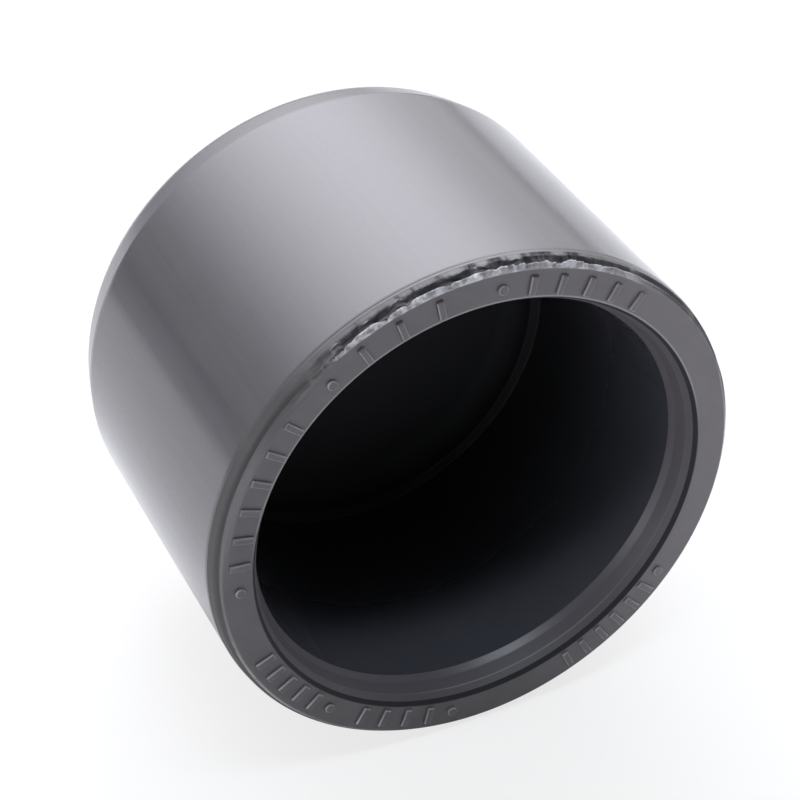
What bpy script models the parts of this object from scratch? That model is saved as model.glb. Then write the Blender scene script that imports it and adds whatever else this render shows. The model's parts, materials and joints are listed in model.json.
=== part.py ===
"""Solvent-weld end cap for a 40 mm pressure pipe, in dark grey PVC-U.

The cap is one injection moulding: a cup with a slightly tapered socket, a shoulder where the pipe
stops, a shallow recess behind it, a thick end wall and plain raised marks on the rim. It lies on
its side, as it would on a bench: the axis is level along Y, the mouth faces -Y and +Z is up. The
origin is under the middle of the cap, on the surface that it lies on.

Lengths are in metres and angles in degrees. The turned section is drawn in (radius, height), with
height 0 on the flat of the closed end and the rim at the top.
"""

import math

import bmesh
import bpy
from mathutils import Matrix

# Socket, which the pipe is cemented into
SOCKET_ROOT_DIAMETER = 0.0400
SOCKET_TAPER = 0.0003
SOCKET_DEPTH = 0.0270

# Mouth of the socket: a tapered lead-in, a sloping ledge and a steep step up to the rim face
LEAD_IN_DEPTH = 0.0029
LEAD_IN_RISE = 0.0007
LEDGE_DEPTH = 0.0010
LEDGE_WIDTH = 0.00042
STEP_DEPTH = 0.00045
STEP_RISE = 0.00026

# Pipe stop and the recess behind it
STOP_WIDTH = 0.00105
RECESS_DEPTH = 0.0027
RECESS_FILLET = 0.0022

# Walls
SIDE_WALL = 0.0050
END_WALL = 0.0060

# Outer corner at the rim: longer along the wall than across the rim
RIM_CORNER_LENGTH = 0.0017
RIM_CORNER_DEPTH = 0.00075

# Closed end: a short tapered band, a fillet, and the gate mark in the middle
END_BAND_LENGTH = 0.0023
END_BAND_ANGLE = 14.0
END_FILLET = 0.0032
GATE_DISH_RADIUS = 0.0040
GATE_DISH_DEPTH = 0.0003
GATE_DISH_SLOPE = 0.0003
GATE_NUB_RADIUS = 0.0011
GATE_NUB_HEIGHT = 0.0002

# Raised marks on the rim: groups of plain radial ticks, each group closed by a round dot
MARK_HEIGHT = 0.0003
MARK_ROOT = 0.0003
MARK_EDGE_MARGIN = 0.0004
TICK_WIDTH = 0.0006
DOT_RADIUS = 0.00045
DOT_SIDES = 12

# Each group: angle of its first tick round the rim, number of ticks, angle between ticks
MARK_GROUPS = (
    (52.0, 5, 7.0),
    (101.0, 3, 9.0),
    (140.0, 6, 7.0),
    (204.0, 5, 5.0),
    (239.0, 4, 6.0),
    (294.0, 6, 5.0),
)

# Facets of the turned surface, and points along its rounded corners
TURN_STEPS = 48
RIM_CORNER_STEPS = 3
FILLET_STEPS = 5
MERGE_DISTANCE = 0.00001

# Finish: satin dark grey plastic
PLASTIC_COLOUR = (0.105, 0.101, 0.112, 1.0)
PLASTIC_ROUGHNESS = 0.42

# Derived sizes
SOCKET_ROOT_RADIUS = SOCKET_ROOT_DIAMETER / 2
SOCKET_MOUTH_RADIUS = SOCKET_ROOT_RADIUS + SOCKET_TAPER / 2
OUTER_RADIUS = SOCKET_ROOT_RADIUS + SIDE_WALL
RECESS_RADIUS = SOCKET_ROOT_RADIUS - STOP_WIDTH
STOP_HEIGHT = END_WALL + RECESS_DEPTH
RIM_HEIGHT = STOP_HEIGHT + SOCKET_DEPTH
LEDGE_INNER_RADIUS = SOCKET_MOUTH_RADIUS + LEAD_IN_RISE
LEDGE_OUTER_RADIUS = LEDGE_INNER_RADIUS + LEDGE_WIDTH
RIM_INNER_RADIUS = LEDGE_OUTER_RADIUS + STEP_RISE
RIM_OUTER_RADIUS = OUTER_RADIUS - RIM_CORNER_DEPTH
OVERALL_LENGTH = RIM_HEIGHT + MARK_HEIGHT


def clear_scene():
    """Remove every object that the scene starts with."""
    for item in list(bpy.data.objects):
        bpy.data.objects.remove(item, do_unlink=True)


def arc(centre, radii, start, end, steps):
    """Return points on an ellipse about a centre, from one angle to another, both ends included."""
    points = []
    for step in range(steps + 1):
        angle = math.radians(start + (end - start) * step / steps)
        points.append((centre[0] + radii[0] * math.cos(angle), centre[1] + radii[1] * math.sin(angle)))
    return points


def socket_profile():
    """Return the inner side of the section, from the axis up to the rim face."""
    fillet_centre = (RECESS_RADIUS - RECESS_FILLET, END_WALL + RECESS_FILLET)
    return [
        (0.0, END_WALL),
        *arc(fillet_centre, (RECESS_FILLET, RECESS_FILLET), -90.0, 0.0, FILLET_STEPS),
        (RECESS_RADIUS, STOP_HEIGHT),
        (SOCKET_ROOT_RADIUS, STOP_HEIGHT),
        (SOCKET_MOUTH_RADIUS, RIM_HEIGHT - LEAD_IN_DEPTH),
        (LEDGE_INNER_RADIUS, RIM_HEIGHT - LEDGE_DEPTH),
        (LEDGE_OUTER_RADIUS, RIM_HEIGHT - STEP_DEPTH),
        (RIM_INNER_RADIUS, RIM_HEIGHT),
    ]


def outer_profile():
    """Return the outer side of the section, from the rim face down to the axis."""
    band_angle = math.radians(END_BAND_ANGLE)
    band_drop = END_BAND_LENGTH * math.tan(band_angle)
    fillet_centre = (OUTER_RADIUS - band_drop - END_FILLET * math.cos(band_angle), END_FILLET)
    band_foot = END_FILLET * (1.0 - math.sin(band_angle))
    corner_centre = (RIM_OUTER_RADIUS, RIM_HEIGHT - RIM_CORNER_LENGTH)
    return [
        *arc(corner_centre, (RIM_CORNER_DEPTH, RIM_CORNER_LENGTH), 90.0, 0.0, RIM_CORNER_STEPS),
        (OUTER_RADIUS, band_foot + END_BAND_LENGTH),
        *arc(fillet_centre, (END_FILLET, END_FILLET), -END_BAND_ANGLE, -90.0, FILLET_STEPS),
        (GATE_DISH_RADIUS, 0.0),
        (GATE_DISH_RADIUS - GATE_DISH_SLOPE, GATE_DISH_DEPTH),
        (GATE_NUB_RADIUS, GATE_DISH_DEPTH),
        (GATE_NUB_RADIUS, GATE_DISH_DEPTH - GATE_NUB_HEIGHT),
        (0.0, GATE_DISH_DEPTH - GATE_NUB_HEIGHT),
    ]


def plastic_material():
    """Return the cap's satin grey plastic."""
    material = bpy.data.materials.new("grey_pvc")
    material.use_nodes = True
    shader = material.node_tree.nodes["Principled BSDF"]
    shader.inputs["Base Color"].default_value = PLASTIC_COLOUR
    shader.inputs["Roughness"].default_value = PLASTIC_ROUGHNESS
    shader.inputs["Metallic"].default_value = 0.0
    material.diffuse_color = PLASTIC_COLOUR
    return material


def add_object(name, shape, parent):
    """Turn a bmesh into a named object under a parent and return the object."""
    mesh = bpy.data.meshes.new(name)
    shape.to_mesh(mesh)
    shape.free()
    item = bpy.data.objects.new(name, mesh)
    item.parent = parent
    bpy.context.collection.objects.link(item)
    return item


def make_axis():
    """Return the empty on the cap's axis, which lays the cap on its side with its mouth to -Y."""
    axis = bpy.data.objects.new("cap_axis", None)
    axis.location = (0.0, OVERALL_LENGTH / 2, OUTER_RADIUS)
    axis.rotation_euler = (math.pi / 2, 0.0, 0.0)
    bpy.context.collection.objects.link(axis)
    return axis


def make_body(axis):
    """Return the moulding, turned from its section so that its flats touch the true circles."""
    half_step = math.pi / TURN_STEPS
    flat_scale = 1.0 / math.cos(half_step)
    shape = bmesh.new()
    corners = []
    for radius, height in socket_profile() + outer_profile():
        corners.append(shape.verts.new((radius * flat_scale, 0.0, height)))
    for start, end in zip(corners, corners[1:]):
        shape.edges.new((start, end))
    body = add_object("cap_body", shape, axis)
    body.rotation_euler = (0.0, 0.0, half_step)

    turn = body.modifiers.new("turn", "SCREW")
    turn.axis = "Z"
    turn.angle = 2.0 * math.pi
    turn.steps = TURN_STEPS
    turn.render_steps = TURN_STEPS
    turn.use_merge_vertices = True
    turn.merge_threshold = MERGE_DISTANCE
    turn.use_smooth_shade = True
    return body


def add_tick(shape, angle):
    """Add one radial tick, which crosses the rim face inside its edges."""
    inner = RIM_INNER_RADIUS + MARK_EDGE_MARGIN
    outer = RIM_OUTER_RADIUS - MARK_EDGE_MARGIN
    cube = bmesh.ops.create_cube(shape, size=1.0)["verts"]
    bmesh.ops.scale(shape, verts=cube, vec=(outer - inner, TICK_WIDTH, MARK_HEIGHT + MARK_ROOT))
    place_mark(shape, cube, (inner + outer) / 2, angle)


def add_dot(shape, angle):
    """Add one round dot in the middle of the rim face."""
    dot = bmesh.ops.create_cone(
        shape,
        cap_ends=True,
        segments=DOT_SIDES,
        radius1=DOT_RADIUS,
        radius2=DOT_RADIUS,
        depth=MARK_HEIGHT + MARK_ROOT,
    )["verts"]
    place_mark(shape, dot, (RIM_INNER_RADIUS + RIM_OUTER_RADIUS) / 2, angle)


def place_mark(shape, verts, radius, angle):
    """Move a mark out to a radius, set it into the rim face and turn it to its angle."""
    height = RIM_HEIGHT + (MARK_HEIGHT - MARK_ROOT) / 2
    bmesh.ops.translate(shape, verts=verts, vec=(radius, 0.0, height))
    turn = Matrix.Rotation(math.radians(angle), 3, "Z")
    bmesh.ops.rotate(shape, verts=verts, cent=(0.0, 0.0, 0.0), matrix=turn)


def make_marks(axis):
    """Return the raised marks as a guide object, which a union adds to the moulding."""
    shape = bmesh.new()
    for first, count, pitch in MARK_GROUPS:
        for index in range(count):
            add_tick(shape, first + index * pitch)
        add_dot(shape, first + count * pitch)
    marks = add_object("rim_marks", shape, axis)
    marks.hide_render = True
    marks.display_type = "WIRE"
    return marks


def main():
    """Build the cap."""
    clear_scene()
    axis = make_axis()
    body = make_body(axis)
    body.data.materials.append(plastic_material())
    raise_marks = body.modifiers.new("raise_marks", "BOOLEAN")
    raise_marks.operation = "UNION"
    raise_marks.solver = "EXACT"
    raise_marks.object = make_marks(axis)


main()
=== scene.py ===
"""Looks of a dark grey plastic pipe end cap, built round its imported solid.

The cap is one moulding, so it is one piece: a section is turned round the axis, the outer edge of
the rim is torn up into moulding flash, plain raised marks are joined to the rim face, and each zone
of the surface gets its own finish. Lengths are in metres. A depth is measured from the rim face
into the cap, and an angle round the rim is seen from the mouth, from the right towards the top.
"""

from __future__ import annotations

import json
import logging
import math
from dataclasses import dataclass, field
from enum import Enum
from typing import Any, Sequence, Union

import bpy
from mathutils import Matrix, Vector, noise


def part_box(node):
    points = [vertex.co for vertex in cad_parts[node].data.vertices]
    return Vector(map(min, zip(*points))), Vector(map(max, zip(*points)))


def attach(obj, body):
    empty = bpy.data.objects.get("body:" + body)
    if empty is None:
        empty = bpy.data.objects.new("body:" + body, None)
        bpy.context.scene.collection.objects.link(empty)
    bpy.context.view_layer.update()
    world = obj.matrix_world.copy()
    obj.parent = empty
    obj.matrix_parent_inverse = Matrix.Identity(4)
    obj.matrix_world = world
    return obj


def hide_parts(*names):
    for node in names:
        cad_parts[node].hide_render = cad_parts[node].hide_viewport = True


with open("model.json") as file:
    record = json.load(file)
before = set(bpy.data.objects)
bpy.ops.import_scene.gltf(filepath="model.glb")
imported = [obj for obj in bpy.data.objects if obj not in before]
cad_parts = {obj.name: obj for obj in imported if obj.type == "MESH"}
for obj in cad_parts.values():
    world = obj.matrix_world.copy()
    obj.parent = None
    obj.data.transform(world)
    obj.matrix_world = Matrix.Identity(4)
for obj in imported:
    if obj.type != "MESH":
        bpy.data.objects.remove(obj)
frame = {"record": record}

LOG = logging.getLogger("pipe_cap")
MM = 0.001
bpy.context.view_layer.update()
PLASTIC_IOR = 1.54
PLAIN_SPECULAR = 0.5

Colour = tuple[float, float, float]

# A span is where a tone or a shape starts, and where it is full.
Span = tuple[float, float]


class Zone(Enum):
    """The parts of the moulding's surface that have a finish of their own."""

    WALL = 0
    RIM = 1
    SOCKET = 2
    CLOSED_END = 3
    FLASH = 4
    DULL = 5


class Mark(Enum):
    """The plain shapes that are raised on the rim."""

    TICK = "tick"
    DOT = "dot"


def smooth(low: float, high: float, value: float) -> float:
    """Ease from 0 to 1 as a value goes from low to high, or back if low is above high.

    Args:
        low: Value at which the result is 0.
        high: Value at which the result is 1.
        value: Where to read the curve.

    Returns:
        The eased share, between 0 and 1.
    """
    share = min(max((value - low) / (high - low), 0.0), 1.0)
    return share * share * (3.0 - 2.0 * share)


def beside(place: float, margins: Span) -> Span:
    """Return the span that lies at two margins from a place."""
    return place + margins[0], place + margins[1]


def start_fresh() -> None:
    """Go to object mode with nothing selected, so an operator acts only on what is picked next."""
    active = bpy.context.view_layer.objects.active
    if active is not None and active.mode != "OBJECT":
        bpy.ops.object.mode_set(mode="OBJECT")
    bpy.ops.object.select_all(action="DESELECT")


def pick(item: bpy.types.Object) -> None:
    """Make one object the only one selected, and the active one.

    Args:
        item: The object.
    """
    start_fresh()
    item.select_set(True)
    bpy.context.view_layer.objects.active = item


class Wire:
    """An output of a shader node, which Python's operators can add to, scale and compare."""

    def __init__(self, graph: Graph, socket: bpy.types.NodeSocket) -> None:
        """Hold the socket and the graph that it belongs to."""
        self.graph = graph
        self.socket = socket

    def other(self, output: Union[int, str]) -> Wire:
        """Return another output of the same node."""
        return Wire(self.graph, self.socket.node.outputs[output])

    def __add__(self, value: Value) -> Wire:
        """Add a value."""
        return self.graph.maths("ADD", self, value)

    def __sub__(self, value: Value) -> Wire:
        """Take a value away."""
        return self.graph.maths("SUBTRACT", self, value)

    def __rsub__(self, value: Value) -> Wire:
        """Take this away from a value."""
        return self.graph.maths("SUBTRACT", value, self)

    def __mul__(self, value: Value) -> Wire:
        """Multiply by a value."""
        return self.graph.maths("MULTIPLY", self, value)

    def __truediv__(self, value: Value) -> Wire:
        """Divide by a value."""
        return self.graph.maths("DIVIDE", self, value)

    __radd__ = __add__
    __rmul__ = __mul__


Value = Union[Wire, float, int]


class Graph:
    """The node tree of one material or world, built by Python expressions."""

    MIX_COLOURS = (6, 7)
    MIX_RESULT = 2
    GRAIN_FADE = 0.55

    def __init__(self, owner: Union[bpy.types.Material, bpy.types.World]) -> None:
        """Switch the owner's nodes on and start with none.

        Args:
            owner: The material or world.
        """
        self.owner = owner
        owner.use_nodes = True
        self.tree = owner.node_tree
        self.tree.nodes.clear()

    def node(
        self,
        kind: str,
        settings: dict[str, Any] | None = None,
        sockets: dict[Union[int, str], Any] | None = None,
        output: Union[int, str] = 0,
    ) -> Wire:
        """Add a node.

        Args:
            kind: The node's type, without its ShaderNode prefix.
            settings: Its settings, such as an operation, set before its sockets.
            sockets: Its inputs by name or number, each a value or a wire.
            output: Which of its outputs to return.

        Returns:
            The asked output.
        """
        made = self.tree.nodes.new("ShaderNode" + kind)
        for name, value in (settings or {}).items():
            setattr(made, name, value)
        for key, value in (sockets or {}).items():
            if isinstance(value, Wire):
                self.tree.links.new(value.socket, made.inputs[key])
            else:
                made.inputs[key].default_value = value
        return Wire(self, made.outputs[output])

    def maths(self, operation: str, *values: Value) -> Wire:
        """Add a Math node for an operation on values."""
        return self.node("Math", {"operation": operation}, dict(enumerate(values)))

    def ease(self, value: Wire, low: float, high: float) -> Wire:
        """Ease from 0 to 1 as a value goes from low to high."""
        sockets = {"Value": value, "From Min": low, "From Max": high}
        return self.node("MapRange", {"interpolation_type": "SMOOTHSTEP"}, sockets)

    def dot(self, vector: Wire, direction: Vector) -> Wire:
        """Return how far a vector points along a direction."""
        return self.node("VectorMath", {"operation": "DOT_PRODUCT"}, {0: vector, 1: direction}, "Value")

    def stretch(self, vector: Wire, scale: Sequence[float]) -> Wire:
        """Scale a vector along each axis."""
        return self.node("VectorMath", {"operation": "MULTIPLY"}, {0: vector, 1: scale})

    def mix(self, factor: Value, first: Union[Wire, Colour], second: Union[Wire, Colour]) -> Wire:
        """Blend two colours.

        Args:
            factor: Share of the second colour.
            first: Colour at 0.
            second: Colour at 1.

        Returns:
            The blended colour.
        """
        sockets = {0: factor}
        for key, colour in zip(self.MIX_COLOURS, (first, second)):
            sockets[key] = colour if isinstance(colour, Wire) else (*colour, 1.0)
        return self.node("Mix", {"data_type": "RGBA"}, sockets, self.MIX_RESULT)

    def grain(self, vector: Wire, scale: float, detail: float = 3.0) -> Wire:
        """Return soft noise from 0 to 1, with a pattern size of about 1 / scale."""
        sockets = {"Vector": vector, "Scale": scale, "Detail": detail, "Roughness": self.GRAIN_FADE}
        return self.node("TexNoise", {}, sockets, "Fac")

    def bump(self, height: Wire, distance: float, under: Wire | None = None) -> Wire:
        """Return a normal raised by a height.

        Args:
            height: The relief, from 0 to 1.
            distance: How tall a height of 1 is, in metres.
            under: A normal to add the relief to.

        Returns:
            The raised normal.
        """
        sockets: dict[Union[int, str], Any] = {"Strength": 1.0, "Distance": distance, "Height": height}
        if under is not None:
            sockets["Normal"] = under
        return self.node("Bump", {}, sockets)

    def surface(self, shader: Wire) -> None:
        """Connect a shader to the material's or the world's output.

        Args:
            shader: The shader.
        """
        is_world = isinstance(self.tree.id_data, bpy.types.World)
        made = self.tree.nodes.new("ShaderNodeOutputWorld" if is_world else "ShaderNodeOutputMaterial")
        self.tree.links.new(shader.socket, made.inputs["Surface"])

    def plastic(
        self,
        colour: Wire,
        rough: Wire,
        normal: Wire | None = None,
        specular: float = PLAIN_SPECULAR,
    ) -> bpy.types.Material:
        """Make the surface plastic.

        Args:
            colour: Its colour.
            rough: Its roughness.
            normal: Its relief, where it has one.
            specular: How much it mirrors, the same all over.

        Returns:
            The material that this graph belongs to.
        """
        sockets: dict[Union[int, str], Any] = {"Base Color": colour, "Roughness": rough}
        sockets["IOR"] = PLASTIC_IOR
        sockets["Specular IOR Level"] = specular
        if normal is not None:
            sockets["Normal"] = normal
        self.surface(self.node("BsdfPrincipled", {}, sockets))
        return self.owner


@dataclass(frozen=True)
class CapSizes:
    """The cap's sizes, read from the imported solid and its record, with the small edges added."""

    axis_height: float
    outer_radius: float
    rim_plane: float
    length: float
    stop_depth: float
    mark_height: float = 0.3 * MM
    socket_root_radius: float = 20.0 * MM
    socket_mouth_radius: float = 20.15 * MM
    recess_radius: float = 18.95 * MM
    recess_depth: float = 2.7 * MM
    recess_fillet: float = 2.2 * MM
    lead_in_depth: float = 2.9 * MM
    ledge_inner_radius: float = 20.85 * MM
    ledge_inner_depth: float = 1.0 * MM
    ledge_outer_radius: float = 21.22 * MM
    ledge_outer_depth: float = 0.38 * MM
    rim_inner_radius: float = 21.53 * MM
    band_start: float = 30.97 * MM
    band_angle: float = math.radians(14.0)
    end_fillet: float = 3.2 * MM

    @classmethod
    def from_frame(cls) -> CapSizes:
        """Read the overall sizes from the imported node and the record's mounts.

        Returns:
            The sizes.
        """
        low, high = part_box("cap_body")
        places = {mount["name"]: mount["pos_m"] for mount in frame["record"]["mounts"]}
        rim_plane = low.y + cls.mark_height
        return cls(
            axis_height=(low.z + high.z) / 2,
            outer_radius=(high.x - low.x) / 2,
            rim_plane=rim_plane,
            length=places["end_face"][1] - rim_plane,
            stop_depth=places["pipe_stop"][1] - rim_plane,
        )

    def point(self, radius: float, depth: float, angle: float = 0.0) -> Vector:
        """Find the place of a point.

        Args:
            radius: Its distance from the axis.
            depth: Its depth from the rim face.
            angle: Its angle round the rim, in radians.

        Returns:
            The place, in the world.
        """
        across = radius * math.cos(angle)
        up = self.axis_height + radius * math.sin(angle)
        return Vector((across, self.rim_plane + depth, up))

    def polar(self, place: Vector) -> tuple[float, float, float]:
        """Return a place's radius, depth and angle round the rim."""
        up = place.z - self.axis_height
        return math.hypot(place.x, up), place.y - self.rim_plane, math.atan2(up, place.x)


@dataclass(frozen=True)
class Corner:
    """One corner of the turned section and the radius that it is rounded to."""

    radius: float
    depth: float
    fillet: float = 0.0
    steps: int = 5

    def place(self) -> Vector:
        """Return the corner in the section's plane."""
        return Vector((self.radius, self.depth))


def rounded(corners: Sequence[Corner]) -> list[Vector]:
    """Round a section's corners.

    Args:
        corners: The corners in order along the section.

    Returns:
        Points along the section, with an arc at each corner that has a fillet.
    """
    points: list[Vector] = []
    for index, corner in enumerate(corners):
        here = corner.place()
        if not corner.fillet:
            points.append(here)
            continue
        back = (corners[index - 1].place() - here).normalized()
        ahead = (corners[index + 1].place() - here).normalized()
        half = back.angle(ahead) / 2
        centre = here + (back + ahead).normalized() * corner.fillet / math.sin(half)
        reach = corner.fillet / math.tan(half)
        start = here + back * reach - centre
        sweep = start.angle_signed(here + ahead * reach - centre)
        for step in range(corner.steps + 1):
            turn = Matrix.Rotation(-sweep * step / corner.steps, 2)
            points.append(centre + turn @ start)
    return points


class EdgePath:
    """A line across the rim's outer edge, from the rim face to the wall, read by its share of length."""

    def __init__(self, corners: Sequence[Corner]) -> None:
        """Round the corners and measure the line.

        Args:
            corners: The line's corners, from the rim face.
        """
        self.points = rounded(corners)
        self.marks = [0.0]
        for start, end in zip(self.points, self.points[1:]):
            self.marks.append(self.marks[-1] + (end - start).length)

    def at(self, share: float) -> Vector:
        """Find a point of the line.

        Args:
            share: Share of the line's length.

        Returns:
            The point's radius and depth.
        """
        goal = share * self.marks[-1]
        for index, mark in enumerate(self.marks[1:]):
            if goal <= mark:
                span = mark - self.marks[index]
                return self.points[index].lerp(self.points[index + 1], (goal - self.marks[index]) / span)
        return self.points[-1].copy()


@dataclass(frozen=True)
class RimEdge:
    """The rim's outer edge: rounded below, trimmed on the left and torn into flash along the top."""

    inner_radius: float = 23.5 * MM
    outer_mm: float = 25.0
    corner_radius: float = 24.985 * MM
    corner_depth: float = 1.63 * MM
    face_end: float = 24.25 * MM
    face_rounding: float = 0.22 * MM
    shoulder_radius: float = 24.80 * MM
    shoulder_depth: float = 0.58 * MM
    shoulder_rounding: float = 0.9 * MM
    lip_start: float = 24.16 * MM
    lip_start_rounding: float = 0.2 * MM
    lip_crest: float = 24.46 * MM
    lip_crest_rounding: float = 0.15 * MM
    lip_height: float = 0.11 * MM
    lip_limit: float = 0.295 * MM
    lip_radius: float = 24.76 * MM
    lip_drop: float = 0.05 * MM
    lip_thickness: float = 0.08 * MM
    groove_radius: float = 24.36 * MM
    groove_top: float = 0.30 * MM
    groove_foot: float = 0.66 * MM
    bank_radius: float = 24.86 * MM
    bank_depth: float = 0.99 * MM
    bank_rounding: float = 0.1 * MM
    trim_radius: float = 23.72 * MM
    trim_rounding: float = 0.1 * MM
    trim_end_radius: float = 24.78 * MM
    trim_end_depth: float = 0.72 * MM
    trim_end_rounding: float = 0.6 * MM
    lip_depths: Span = (0.28 * MM, 0.15 * MM)
    groove_start: Span = (0.22 * MM, 0.32 * MM)
    groove_end: Span = (1.00 * MM, 0.80 * MM)
    bank_start: Span = (0.60 * MM, 0.90 * MM)
    bank_end: Span = (1.45 * MM, 1.10 * MM)
    torn_left: Span = (146.0, 108.0)
    lightly_torn_right: Span = (14.0, 26.0)
    torn_right: Span = (44.0, 64.0)
    lightly_torn: float = 0.45
    trimmed_left: Span = (184.0, 158.0)
    trimmed_top: Span = (120.0, 142.0)
    ragged_left: Span = (146.0, 122.0)
    ragged_right: Span = (58.0, 78.0)
    least_ragged: float = 0.12
    rows: int = 32
    first_angle: float = 10.0
    last_angle: float = 188.0
    columns_per_step: int = 8
    notch_angle: float = 36.0
    notch_width: float = 1.3
    notch_share: float = 0.8

    def clean(self) -> EdgePath:
        """Return the edge as the mould leaves it."""
        return EdgePath([
            Corner(self.inner_radius, 0.0),
            Corner(self.face_end, 0.0, self.face_rounding),
            Corner(self.shoulder_radius, self.shoulder_depth, self.shoulder_rounding),
            Corner(self.corner_radius, self.corner_depth),
        ])

    def torn(self) -> EdgePath:
        """Return the edge where flash sticks out: a thin flange over a dark groove."""
        return EdgePath([
            Corner(self.inner_radius, 0.0),
            Corner(self.lip_start, 0.0, self.lip_start_rounding),
            Corner(self.lip_crest, -self.lip_height, self.lip_crest_rounding),
            Corner(self.lip_radius, self.lip_drop),
            Corner(self.lip_radius, self.lip_drop + self.lip_thickness),
            Corner(self.groove_radius, self.groove_top),
            Corner(self.groove_radius, self.groove_foot, self.bank_rounding),
            Corner(self.bank_radius, self.bank_depth, self.bank_rounding),
            Corner(self.corner_radius, self.corner_depth),
        ])

    def trimmed(self) -> EdgePath:
        """Return the edge where the flash was trimmed off at a slant."""
        return EdgePath([
            Corner(self.inner_radius, 0.0),
            Corner(self.trim_radius, 0.0, self.trim_rounding),
            Corner(self.trim_end_radius, self.trim_end_depth, self.trim_end_rounding),
            Corner(self.corner_radius, self.corner_depth),
        ])

    def torn_share(self, degrees: float) -> float:
        """Find how far the edge is torn at an angle.

        Args:
            degrees: Angle round the rim.

        Returns:
            From 0, not torn, to 1, fully torn.
        """
        left = smooth(*self.torn_left, degrees)
        right = self.lightly_torn * smooth(*self.lightly_torn_right, degrees)
        right += (1.0 - self.lightly_torn) * smooth(*self.torn_right, degrees)
        gap = math.exp(-(((degrees - self.notch_angle) / self.notch_width) ** 2))
        return left * right * (1.0 - self.notch_share * gap)

    def trimmed_share(self, degrees: float) -> float:
        """Return how far the edge is trimmed at an angle, from not at all, 0, to fully, 1."""
        return smooth(*self.trimmed_left, degrees) * smooth(*self.trimmed_top, degrees)

    def raggedness(self, degrees: float) -> float:
        """Find how ragged the lip is at an angle.

        Args:
            degrees: Angle round the rim.

        Returns:
            From 0, even, to 1, shredded.
        """
        rest = 1.0 - self.least_ragged
        right = self.least_ragged + rest * smooth(*self.ragged_right, degrees)
        return smooth(*self.ragged_left, degrees) * right

    def place(self, share: float, degrees: float, paths: Sequence[EdgePath]) -> Vector:
        """Find a point of the finished edge.

        Args:
            share: Share of the way across the edge, from the rim face to the wall.
            degrees: Angle round the rim.
            paths: The clean, torn and trimmed edges.

        Returns:
            The point's radius and depth.
        """
        clean, torn, trimmed = [path.at(share) for path in paths]
        cut = self.trimmed_share(degrees)
        tear = self.torn_share(degrees) * (1.0 - cut)
        return clean * (1.0 - tear - cut) + self._shredded(torn, degrees) * tear + trimmed * cut

    def _wave(self, degrees: float, rate: float, row: float, across: float = 0.0) -> float:
        """Return soft noise along the edge.

        Args:
            degrees: Angle round the rim.
            rate: How often the noise changes in a millimetre.
            row: Which line of the noise is read, so that two waves differ.
            across: Where across that line it is read.

        Returns:
            The noise, between -1 and 1.
        """
        along = math.radians(degrees) * self.outer_mm
        return noise.noise(Vector((along * rate, row, across)))

    def _shredded(self, point: Vector, degrees: float) -> Vector:
        """Move a point of the torn edge in and out, so that the lip and its groove are ragged.

        Args:
            point: The point's radius and depth.
            degrees: Angle round the rim.

        Returns:
            The moved point's radius and depth.
        """
        ragged = self.raggedness(degrees)
        coarse = self._wave(degrees, rate=0.40, row=3.1)
        chips = self._wave(degrees, rate=1.15, row=7.7)
        fine = self._wave(degrees, rate=3.4, row=1.9, across=point.x / MM)
        lumps = self._wave(degrees, rate=0.62, row=21.7)
        bites = self._wave(degrees, rate=1.0, row=11.3)
        radius, depth = point
        on_lip = smooth(self.lip_start, self.lip_radius, radius) * smooth(*self.lip_depths, depth)
        outward = ragged * (0.50 * coarse + 0.60 * chips + 0.20 * fine)
        curl = ragged * (0.20 * coarse + 0.25 * chips + 0.16 * fine)
        in_groove = smooth(*self.groove_start, depth) * smooth(*self.groove_end, depth)
        fill = ragged * max(lumps + 0.3 * chips, 0.0)
        on_bank = smooth(*self.bank_start, depth) * smooth(*self.bank_end, depth)
        bite = ragged * (0.5 * bites + 0.3 * coarse + 0.2 * fine)
        inward = 0.20 * max(bite, 0.0) * on_bank - 0.9 * fill * in_groove
        new_radius = radius + (outward * on_lip - inward) * MM
        new_depth = depth - curl * on_lip * MM + 0.60 * bite * on_bank * MM
        return Vector((min(new_radius, self.corner_radius), max(new_depth, -self.lip_limit)))


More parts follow.
